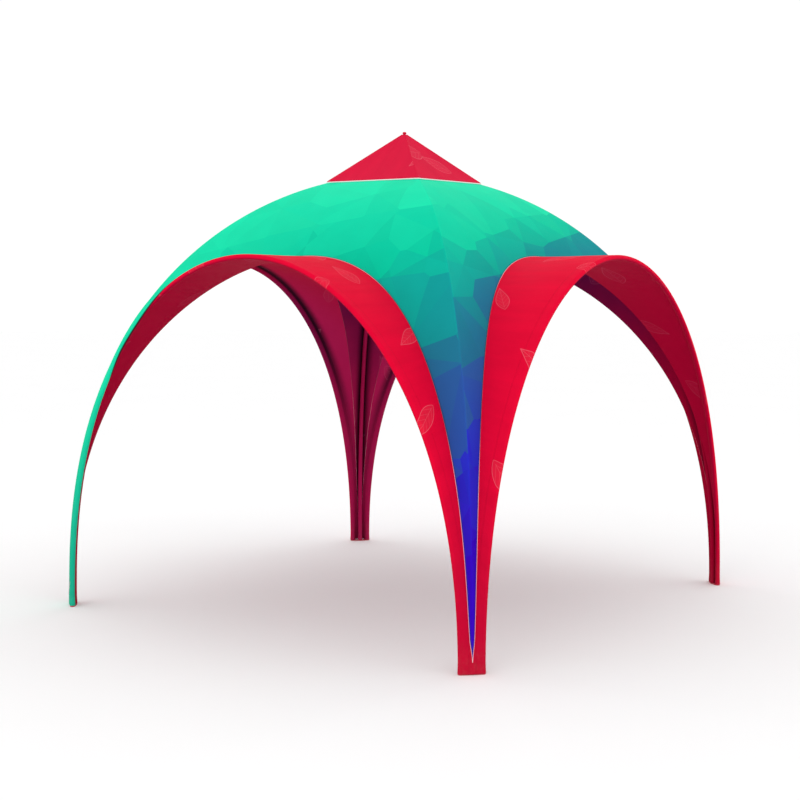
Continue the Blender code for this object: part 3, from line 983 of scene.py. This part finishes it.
def hood_section(make, width, radius, rows):
    """A hood's section for each width: distances from the pole's middle towards the seam and
    outwards. It runs from the seam to the pole on a tangent, round the pole, and back on a
    tangent to its own inner side, where the hem is stitched."""
    lean = np.arccos(radius / width)
    end_x, end_y = radius * np.cos(lean), radius * np.sin(lean)

    def face(t):
        """Height of the outer face at a share of the way from the seam. It sags by t times
        1 - t squared, which is 4 / 27 at the most."""
        return end_y * t - make.hood_sag * width * 27 / 4 * t * (1 - t) ** 2

    def under(px):
        """Height of the hood's inner side at a distance from the pole's middle."""
        return face((width - px) / (width - end_x)) - 2 * make.thickness

    t = np.linspace(0, 1, rows)[None]
    first = np.stack([width + (end_x - width) * t, face(t)])
    reach = np.minimum(make.pocket_reach, 0.72 * width)
    hem = np.stack([reach, under(reach)])
    far = np.hypot(*hem)
    stop = 2 * math.pi + np.arctan2(hem[1], reach) - np.arccos(np.minimum(radius / far, 0.995))
    turn = lean + (stop - lean) * np.linspace(0, 1, 26)[None, 1:]
    second = radius * np.stack([np.cos(turn), np.sin(turn)])
    t = np.linspace(0, 1, 6)[None, 1:]
    third = second[:, :, -1:] * (1 - t) + hem * t
    lap = reach + make.hem * np.linspace(0, 1, 3)[None, 1:]
    return np.concatenate([first, second, third, np.stack([lap, under(lap)])], axis=2)


class TENT_OT_hoods(bpy.types.Operator):
    """Hang the four hoods from the canopy's seams and fold them round the edge poles"""
    bl_idname = "tent.hoods"
    bl_label = "Hoods"

    def execute(self, context):
        shape, make, _ = settings(context)
        share, rows = np.linspace(-1, 1, 301), 27
        edge, across, facing, width, shear = hood_frame(shape, share, make.foot_gap)
        section = hood_section(make, width, flared(make, edge[:, 2:]), rows)
        run = steps_along(edge)[:, None]
        deep = width - section[0, :, :rows]
        free = np.sin(math.pi * np.linspace(0, 1, rows)[None]) ** 0.8
        crest = np.exp(-((np.abs(share) - 0.42) / 0.22) ** 2)[:, None]
        wave = ripples(run, deep, 11, 7, 0.07, 0.23, 0.5)
        tight = ripples(run, deep, 12, 4, 0.04, 0.08, 0.9)
        section[1, :, :rows] += make.fold_depth * free * (wave + 0.5 * crest * tight)
        grid = (edge[:, None] + section[0][..., None] * across[:, None]
                + section[1][..., None] * facing[:, None]
                + np.clip(section[0] / width, 0, 1)[..., None] * shear[:, None])
        normal = unit(np.cross(np.gradient(grid, axis=1), np.gradient(grid, axis=0)))
        open_cloth = slice(rows // 3, rows // 3 + 1)
        normal *= np.sign((normal[:, open_cloth] * facing[:, None]).sum(-1, keepdims=True))
        slide = steps_along(grid, axis=1)
        hem = slide - slide[:, -1:] + 0.5 * make.hem
        outer = section[0] - section[0][:, -2:-1]
        stitch = np.concatenate([outer[:, :rows], hem[:, rows:]], axis=1)
        turn = pocket_turn(section, rows)
        # inside: how far the cloth has wrapped under its pole, where painted shade takes over from the red
        marks = {"from_edge": stitch, "along": run, "from_ridge": 1, "seamed": 1,
                 "climb_u": np.gradient(edge[:, 2])[:, None] / np.gradient(run, axis=0),
                 "inside": smooth((turn / math.pi - 0.95) / 0.35)}
        looks = materials("hood_red", "hood_lining", "hood_red")
        flat = quad_area(grid)
        radius = np.hypot(*section)[:, rows + 9:rows + 10]
        for side, face in enumerate(FACES):
            turned = turned_side(grid, side)
            marks["print_edge"] = print_edge(turned, face, turn, radius)
            hood = cloth("hood_cloth_" + face, turned, turned_side(normal, side),
                         make.thickness, laid_out(run, slide), looks, marks)
            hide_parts("hood_" + face, "edge_sleeve_" + face)
        return {"FINISHED"}


def pocket_turn(section, rows):
    """Angle round the pole from the seam's side over the outside, nothing on the hood itself."""
    turn = np.mod(np.arctan2(section[1], section[0]), 2 * math.pi)
    turn[:, :rows] = 0.0
    return np.maximum.accumulate(turn, axis=1)


def print_edge(points, face, turn, radius):
    """Distance in from the edge of a hood's print, less than nothing outside it. The left
    hood carries the print on the half that meets the front. The front hood carries it down
    the left leg, where it also covers the outside of the pole's pocket, less so higher up."""
    x, y = points[..., 0], points[..., 1]
    if face == "left":
        return np.minimum(-y - 0.1, (2.5 - turn) * radius)
    if face == "front":
        limit = 1.05 + 2.9 * smooth((-x - 0.45) / 0.75) + 2.6 * smooth((-x - 1.30) / 0.35)
        return np.minimum(-x - 0.55, (limit - turn) * radius)
    return -1.0


def pocket_rings(line, toward, side, radius, reach):
    """A pocket's outline carried along a line: a circle and the two tangents from it to the
    stitched tip, which lies at a reach from the pole's middle."""
    lean = np.arccos(np.clip(radius / reach, 0, 0.98))[:, None]
    share = np.linspace(0, 1, 8)[None, :-1]
    turn = lean + (2 * math.pi - 2 * lean) * np.linspace(0, 1, 27)[None]
    r, d = radius[:, None], reach[:, None]
    to_x, to_y = d + (r * np.cos(lean) - d) * share, r * np.sin(lean) * share
    px = np.concatenate([to_x, r * np.cos(turn), to_x[:, :0:-1]], axis=1)
    py = np.concatenate([to_y, r * np.sin(turn), -to_y[:, :0:-1]], axis=1)
    return line[:, None] + px[..., None] * toward[:, None] + py[..., None] * side[:, None]


class TENT_OT_ridge_pockets(bpy.types.Operator):
    """Sew a pocket for each ridge pole under the ridge"""
    bl_idname = "tent.ridge_pockets"
    bl_label = "Ridge Pole Pockets"

    def execute(self, context):
        shape, make, _ = settings(context)
        angle = np.linspace(low_angle(shape, make.foot_gap), vent_angle(shape), 181)
        inner, low = profile(shape, angle, shape.ridge_depth)
        line = np.stack([inner, -inner, low], axis=-1)
        along = unit(np.gradient(line, axis=0))
        half, z = profile(shape, angle)
        out = square_to(on_dome(shape, make, half, z) - line, along)
        reach, radius = np.linalg.norm(out, axis=-1), flared(make, line[:, 2])
        out = out / reach[:, None]
        gap, fold_depth = 0.0006, 0.0005
        reach = np.maximum(reach - make.thickness - gap, radius + 0.004)
        rings = pocket_rings(line, out, np.cross(along, out), radius, reach)
        run = steps_along(line)[:, None]
        around = np.linspace(0, 2 * math.pi, rings.shape[1], endpoint=False)[None]
        folds = fold_depth * ripples(run, around * 0.012, 31, 6, 0.03, 0.11, 2.5)
        rings = rings + unit(rings - line[:, None]) * folds[..., None]
        away = np.linalg.norm(rings - rings[:, :1], axis=-1)
        closed, middle = wrapped(rings, 1), rings.mean(1)
        facing = unit(np.cross(np.gradient(rings, axis=0),
                               np.roll(rings, -1, axis=1) - np.roll(rings, 1, axis=1)))
        facing *= np.sign(((rings - middle[:, None]) * facing).sum())
        uv = laid_out(steps_along(middle)[:, None], steps_along(closed, axis=1))
        flat = quad_area(closed)
        looks = materials("hood_lining", "hood_lining", "hood_lining")
        # from_ridge here sets the painted shade on the pocket, darkest where it meets the panel
        marks = {"from_ridge": 0.06 + away * 2.2, "along": run}
        for side, leg in enumerate(LEGS):
            piece = cloth("ridge_pocket_" + leg, turned_side(rings, side), turned_side(facing, side),
                          make.pocket_wall, uv, looks, marks, ring=True)
            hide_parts("ridge_sleeve_" + leg)
        return {"FINISHED"}


class TENT_OT_piping(bpy.types.Operator):
    """Run a thin pale cord along the seams between canopy and hoods"""
    bl_idname = "tent.piping"
    bl_label = "Seam Piping"

    def execute(self, context):
        shape, make, _ = settings(context)
        out, lift, proud = np.array([0.0, -1.0, 0.0]), 0.002, 0.0006
        x, z = seam_line(shape, np.linspace(-1, 1, 401), shape.tail_tip + lift)
        line = on_dome(shape, make, x, z) + proud * out
        rings = rounds(line, make.piping_radius, 8, out)
        for side, face in enumerate(FACES):
            tube("seam_piping_" + face, turned_side(rings, side), materials("pale_binding"),
                 60)
        return {"FINISHED"}


def square_ring(half, rounding, points_a_side):
    """Square outlines in plan with their corners turned onto arcs, and the share of the way
    along a side at each point."""
    s = np.linspace(-1, 1, points_a_side, endpoint=False)
    s = np.sin(s * math.pi / 2)[None]
    half = np.array(half)[:, None]
    across, out = rounded(half, half * np.abs(s), np.minimum(rounding, 0.35 * half))
    front = np.stack([across * np.sign(s), -out, 0 * out], axis=-1)
    return np.concatenate([turned_side(front, side) for side in range(4)], axis=1), s


class TENT_OT_cap(bpy.types.Operator):
    """Set the peaked cap, its binding and its knob over the vent"""
    bl_idname = "tent.cap"
    bl_label = "Peak Cap"

    def execute(self, context):
        shape, make, _ = settings(context)
        tip, hem, rounding, crease_depth, points = 0.018, 0.012, 0.012, 0.0012, 40
        wide, tall = shape.cap_half - tip, shape.cap_top - shape.cap_base
        slant = np.hypot(wide, tall)
        down = np.concatenate([[0.0, 0.0], np.linspace(0, 1, 41)])
        half = tip + wide * down
        half[0] = tip / 3
        rings, s = square_ring(half, rounding, points)
        rings[..., 2] = (shape.cap_top - tall * down)[:, None]
        front = np.tile([0.0, -tall, wide], (points, 1)) / slant
        normal = np.concatenate([turned_side(front, side) for side in range(4)])[None]
        span = np.tile(1 - s ** 2, 4)
        hollow = make.cap_sag * span * (np.sin(math.pi * down) ** 0.7)[:, None]
        across = np.tile(s, 4) * half[:, None]
        crease = ripples(across, down[:, None] * 0.6, 51, 6, 0.05, 0.22, 1.0)
        crease = crease_depth * crease * span * smooth(down / 0.3)[:, None]
        rings = rings - normal * (hollow - crease)[..., None]
        rings = np.concatenate([rings, rings[-1:] - (0, 0, hem)])
        run = np.concatenate([across, across[-1:]])
        away = np.append(slant * (1 - down), -hem)[:, None]
        facing = np.broadcast_to(normal, rings.shape).copy()
        facing[-1, :, 2] = 0.0
        uv = laid_out(run + np.repeat(1.3 * np.arange(4), points), away)
        uv = np.concatenate([uv, uv[:, -1:]], axis=1)
        cap = cloth("cap_cloth", rings, unit(facing), make.thickness, uv,
                    materials("hood_red", "hood_lining", "hood_red"),
                    {"from_edge": away, "along": run, "from_ridge": 1}, ring=True)
        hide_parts("peak_cap")
        closed = wrapped(rings, 1)
        quad_area(closed)
        proud, drop = 0.001, 0.007
        base, _ = square_ring([shape.cap_half + proud], rounding, 60)
        self.binding(base[0] + (0, 0, shape.cap_base - drop), make.cap_piping)
        self.corner_welts(shape)
        self.knob(shape)
        return {"FINISHED"}

    def binding(self, loop, radius):
        """A closed round binding along a level loop of points."""
        closed = np.concatenate([loop[-1:], loop, loop[:1]])
        side = unit(np.cross(closed[2:] - closed[:-2], UP))
        cos, sin = circle(12)
        rings = loop[:, None] + radius * (cos * side[:, None] + sin * UP)
        uv = laid_out(steps_along(closed[1:])[:, None], np.linspace(0, 1, 13))
        closed_ring("cap_binding", rings, materials("pale_binding"), 180, uv)

    def corner_welts(self, shape):
        """Raised seams down the cap's four corners."""
        start, end, proud, radius = 0.0150, shape.cap_half - 0.0035, 0.0005, 0.0022
        line = np.linspace((start, -start, shape.cap_top + proud),
                           (end, -end, shape.cap_base + proud), 60)
        rings = rounds(line, radius, 8, DIAGONAL)
        joined("cap_welts", [tube("welt", turned_side(rings, side), materials("hood_red")) for side in range(4)])

    def knob(self, shape):
        """The knob on the tip: a turned outline with a foot, a waist and a rounded head."""
        turn = np.linspace(-0.35 * math.pi, 0.5 * math.pi, 16)
        head = np.stack([0.0168 * np.cos(turn), 0.0128 + 0.0110 * np.sin(turn)], axis=-1)
        head[-1, 0] = 0.0010
        foot = ((0.0150, 0.0006), (0.0158, 0.0014), (0.0150, 0.0024), (0.0095, 0.0034))
        rings = lathe((0, 0, shape.cap_top), UP, (*foot, *head), 40)
        knob = tube("cap_knob", rings, materials("hood_red"), 60)
        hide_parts("peak_knob")


# Turned outlines of the hub's fittings: radius and height of each point
COLLAR = ((0.0166, 0.0), (0.0235, 0.0), (0.0245, 0.002), (0.0245, 0.008), (0.0220, 0.011),
          (0.0210, 0.050), (0.0222, 0.052), (0.0222, 0.060), (0.0210, 0.062), (0.0166, 0.062))
FLANGE = ((0.0164, 0.0), (0.0300, 0.0), (0.0310, 0.001), (0.0310, 0.005), (0.0290, 0.007),
          (0.0210, 0.009), (0.0200, 0.016), (0.0190, 0.018), (0.0164, 0.018))
WASHER = ((0.0082, 0.0), (0.0088, 0.0003), (0.0088, 0.0011), (0.0082, 0.0014))
BOLT_HEAD = ((0.0052, 0.0014), (0.0060, 0.0018), (0.0060, 0.0052), (0.0050, 0.0060))
SEAT_GAP = 0.0002         # between the hub's top and what stands on it


class TENT_OT_fittings(bpy.types.Operator):
    """Finish the poles, brackets and hub, and add the hub's collars and bolts"""
    bl_idname = "tent.fittings"
    bl_label = "Poles and Fittings"

    def execute(self, context):
        shape, make, _ = settings(context)
        kinds = {"peak_mast": "satin_aluminium", "crown_hub": "black_moulding",
                 **{"foot_bracket_" + leg: "red_steel" for leg in LEGS}}
        for name, kind in kinds.items():
            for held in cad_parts[name].material_slots:
                held.material = bpy.data.materials[kind]
        low, high = (np.array(corner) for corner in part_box("crown_hub"))
        middle = (low + high) / 2
        self.poles(shape, make, middle, high)
        self.collars(shape, middle, high)
        self.bolts(high)
        return {"FINISHED"}

    def poles(self, shape, make, middle, high):
        """Smooth tubes through the pockets: down into the sockets, and up to the hub."""
        edge_foot, ridge_foot, hub_gap = 0.030, 0.088, 0.0004
        edge = edge_line(shape, np.linspace(-1, 1, 241), edge_foot)
        ends = edge[[0, -1]] * (1, 1, 0) + (0, 0, make.pole_end)
        edge = np.concatenate([ends[:1], edge, ends[1:]])
        angle = np.linspace(low_angle(shape, ridge_foot), vent_angle(shape), 160)
        half, z = profile(shape, angle, shape.ridge_depth)
        half = np.concatenate([half[:1], half, [(high[0] + hub_gap) / math.sqrt(2)]])
        z = np.concatenate([[make.pole_end], z, [middle[2]]])
        ridge = np.stack([half, -half, z], axis=-1)
        for side, (face, leg) in enumerate(zip(FACES, LEGS)):
            for label, line in (("edge_tube_" + face, edge), ("ridge_tube_" + leg, ridge)):
                rings = rounds(line, make.pole_radius, 20, DIAGONAL)
                made = tube(label, turned_side(rings, side), materials("satin_aluminium"),
                            60)
                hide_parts(label.replace("tube", "pole"))

    def collars(self, shape, middle, high):
        """Sockets round the ridge poles at the hub, and a flange round the mast."""
        into_hub = 0.001
        reach = (high[0] - into_hub) / math.sqrt(2)
        inner, z = profile(shape, vent_angle(shape), shape.ridge_depth)
        start = np.array([reach, -reach, middle[2]])
        axis = unit(np.array([inner, -inner, z]) - start)
        look = materials("black_moulding")
        parts = [closed_ring("collar", lathe(turned_side(start, side), turned_side(axis, side),
                                             COLLAR, 28), look, 35)
                 for side in range(4)]
        rings = lathe((0, 0, high[2] + SEAT_GAP), UP, FLANGE, 40)
        parts.append(closed_ring("flange", rings, look, 35))
        joined("hub_collars", parts)

    def bolts(self, high):
        """Hexagon bolts on the hub's top and washers under them."""
        reach, parts, look = 0.058, [], materials("bright_steel")
        for i in range(8):
            turn = (i + 0.5) * math.pi / 4
            place = (reach * math.cos(turn), reach * math.sin(turn), high[2] + SEAT_GAP)
            parts.append(tube("washer", lathe(place, UP, WASHER, 20), look))
            parts.append(tube("bolt", lathe(place, UP, BOLT_HEAD, 6), look, 20))
        joined("hub_bolts", parts)


class TENT_OT_stage(bpy.types.Operator):
    """Lay the floor, hang the lights and set up the camera"""
    bl_idname = "tent.stage"
    bl_label = "Stage"

    def execute(self, context):
        stage = context.scene.tent_stage
        self.floor(stage)
        self.sky(context.scene, stage)
        self.lamp("key_light", (4.5, -9.5, 8.5), 7.0, stage.key)
        self.lamp("overhead_light", (-2.0, 2.0, 11.0), 9.0, stage.overhead)
        view = bpy.data.cameras.new("view")
        view.lens = stage.lens
        view.sensor_width = 36.0
        view.clip_end = 300.0
        camera = self.hung("view", view, stage.camera_place)
        camera.rotation_euler = (math.pi / 2 + stage.pitch, 0.0, stage.heading)
        context.scene.camera = camera
        return {"FINISHED"}

    def hung(self, name, data, place):
        """New object of the stage at a place."""
        made = bpy.data.objects.new(name, data)
        bpy.context.scene.collection.objects.link(made)
        made.location = place
        return made

    def floor(self, stage):
        """A disc in rings that grow outwards."""
        cos, sin = circle(96)
        reach = stage.floor_radius * np.linspace(0.002, 1, 14)[:, None] ** 2
        rings = np.stack([reach * cos.T, reach * sin.T, 0 * reach * cos.T], axis=-1)
        faces = quads(numbered(rings, 1)).tolist() + [list(range(96))]
        mesh = bpy.data.meshes.new("floor")
        mesh.from_pydata(rings.reshape(-1, 3).tolist(), [], faces)
        mesh.materials.append(bpy.data.materials["pale_floor"])
        floor = self.hung("floor", mesh, (0.0, 0.0, 0.0))

    def sky(self, scene, stage):
        """Even white light from all round."""
        world = bpy.data.worlds.new("even_white")
        world.use_nodes = True
        back = world.node_tree.nodes["Background"]
        back.inputs["Color"].default_value = (1.0, 1.0, 1.0, 1.0)
        back.inputs["Strength"].default_value = stage.sky
        scene.world = world
        scene.view_settings.view_transform = "Standard"

    def lamp(self, name, place, size, power):
        """A large soft lamp that faces the tent."""
        lamp = bpy.data.lights.new(name, "AREA")
        lamp.shape = "DISK"
        lamp.size = size
        lamp.energy = power
        aim = Vector((0, 0, 1.6)) - Vector(place)
        made = self.hung(name, lamp, place)
        made.rotation_euler = aim.to_track_quat("-Z", "Y").to_euler()


STEPS = (TENT_OT_finishes, TENT_OT_fittings, TENT_OT_ridge_pockets, TENT_OT_canopy,
         TENT_OT_hoods, TENT_OT_piping, TENT_OT_cap, TENT_OT_stage)
GROUPS = (("tent_shape", TentShape), ("cloth_make", ClothMake), ("cloth_print", ClothPrint),
          ("tent_stage", StageSetup))


class TENT_PT_sidebar(bpy.types.Panel):
    """Steps of the dressing and the values that they use"""
    bl_label = "Dome Tent"
    bl_idname = "TENT_PT_sidebar"
    bl_space_type = "VIEW_3D"
    bl_region_type = "UI"
    bl_category = "Tent"

    def draw(self, context):
        for step in STEPS:
            self.layout.operator(step.bl_idname)
        for key, kind in GROUPS:
            box = self.layout.box()
            box.label(text=kind.__doc__)
            for label in kind.__annotations__:
                box.prop(getattr(context.scene, key), label)


def register():
    """Register the property groups, the operators and the panel."""
    for key, kind in GROUPS:
        bpy.utils.register_class(kind)
        setattr(bpy.types.Scene, key, PointerProperty(type=kind))
    for kind in (*STEPS, TENT_PT_sidebar):
        bpy.utils.register_class(kind)


def unregister():
    """Take them away again."""
    for kind in (TENT_PT_sidebar, *reversed(STEPS)):
        bpy.utils.unregister_class(kind)
    for key, kind in GROUPS:
        delattr(bpy.types.Scene, key)
        bpy.utils.unregister_class(kind)


def main():
    """Dress the frame step by step."""
    register()
    for step in STEPS:
        area, name = step.bl_idname.split(".")
        getattr(getattr(bpy.ops, area), name)()


if __name__ == "__main__":
    main()
